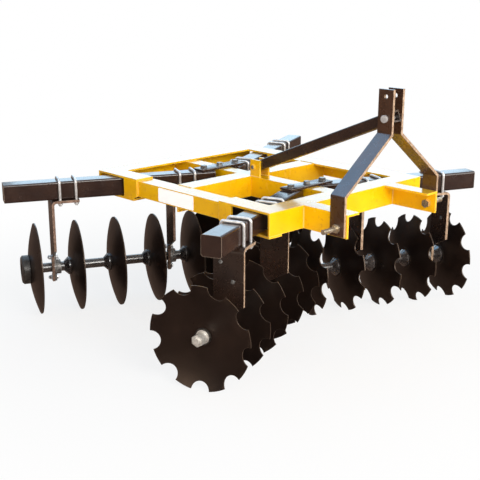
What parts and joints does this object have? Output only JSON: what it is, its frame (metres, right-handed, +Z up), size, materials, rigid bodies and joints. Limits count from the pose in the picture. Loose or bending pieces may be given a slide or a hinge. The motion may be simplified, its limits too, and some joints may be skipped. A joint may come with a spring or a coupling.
{
  "type": "tandem disc harrow",
  "caption": "Rigid-frame three-point tandem disc harrow: angle-iron frame, square-tube gang beams, notched front and plain rear discs, A-frame mast with a brace.",
  "frame": {"origin": "on the ground, under the middle of the machine's bounding box", "axes": "+X to the machine's left, -Y forward to the tractor, +Z up"},
  "size_m": [2.0768, 1.7573, 1.19],
  "materials": {
    "frame_yellow": "gloss",
    "gloss_black": "gloss",
    "bright_zinc": "bright",
    "grey_iron": "satin"
  },
  "bodies": {
    "frame": {"front_rail": "frame_yellow", "rear_rail": "frame_yellow", "middle_rail": "frame_yellow", "centre_rail": "frame_yellow", "right_side_rail": "frame_yellow", "left_side_rail": "frame_yellow", "front_strap": "gloss_black", "rear_strap": "gloss_black", "hitch_brackets": "frame_yellow", "right_mast_bar": "gloss_black", "left_mast_bar": "gloss_black", "lower_link_pins": "bright_zinc", "brace_pin": "bright_zinc", "brace_tube": "gloss_black", "brace_clevis": "frame_yellow"},
    "front_right_gang": {"front_right_beam": "gloss_black", "front_right_hangers": "gloss_black", "front_right_bearings": "grey_iron", "front_right_clamps": "bright_zinc"},
    "front_right_disc_set": {"front_right_discs": "gloss_black", "front_right_spools": "gloss_black", "front_right_axle": "bright_zinc"},
    "front_left_gang": {"front_left_beam": "gloss_black", "front_left_hangers": "gloss_black", "front_left_bearings": "grey_iron", "front_left_clamps": "bright_zinc"},
    "front_left_disc_set": {"front_left_discs": "gloss_black", "front_left_spools": "gloss_black", "front_left_axle": "bright_zinc"},
    "rear_right_gang": {"rear_right_beam": "gloss_black", "rear_right_hangers": "gloss_black", "rear_right_bearings": "grey_iron", "rear_right_clamps": "bright_zinc"},
    "rear_right_disc_set": {"rear_right_discs": "gloss_black", "rear_right_spools": "gloss_black", "rear_right_axle": "bright_zinc"},
    "rear_left_gang": {"rear_left_beam": "gloss_black", "rear_left_hangers": "gloss_black", "rear_left_bearings": "grey_iron", "rear_left_clamps": "bright_zinc"},
    "rear_left_disc_set": {"rear_left_discs": "gloss_black", "rear_left_spools": "gloss_black", "rear_left_axle": "bright_zinc"}
  },
  "joints": [
    {"name": "front_right_angle", "type": "hinge", "parent": "frame", "child": "front_right_gang", "pos_m": [-0.11, -0.36759, 0.644], "axis": [0, 0, 1], "range_deg": [-9, 0]},
    {"name": "front_right_spin", "type": "hinge", "parent": "front_right_gang", "child": "front_right_disc_set", "pos_m": [-0.45745, -0.41629, 0.2286], "axis": [-0.9272, -0.3746, 0], "continuous": true},
    {"name": "front_left_angle", "type": "hinge", "parent": "frame", "child": "front_left_gang", "pos_m": [0.11, -0.36759, 0.644], "axis": [0, 0, -1], "range_deg": [-9, 0]},
    {"name": "front_left_spin", "type": "hinge", "parent": "front_left_gang", "child": "front_left_disc_set", "pos_m": [0.45745, -0.41629, 0.2286], "axis": [0.9272, -0.3746, 0], "continuous": true},
    {"name": "rear_right_angle", "type": "hinge", "parent": "frame", "child": "rear_right_gang", "pos_m": [-0.11, 0.23888, 0.644], "axis": [0, 0, -1], "range_deg": [-2, 2]},
    {"name": "rear_right_spin", "type": "hinge", "parent": "rear_right_gang", "child": "rear_right_disc_set", "pos_m": [-0.51281, 0.51586, 0.2286], "axis": [-0.91, 0.4147, 0], "continuous": true},
    {"name": "rear_left_angle", "type": "hinge", "parent": "frame", "child": "rear_left_gang", "pos_m": [0.11, 0.23888, 0.644], "axis": [0, 0, 1], "range_deg": [-2, 2]},
    {"name": "rear_left_spin", "type": "hinge", "parent": "rear_left_gang", "child": "rear_left_disc_set", "pos_m": [0.51281, 0.51586, 0.2286], "axis": [0.91, 0.4147, 0], "continuous": true}
  ]
}
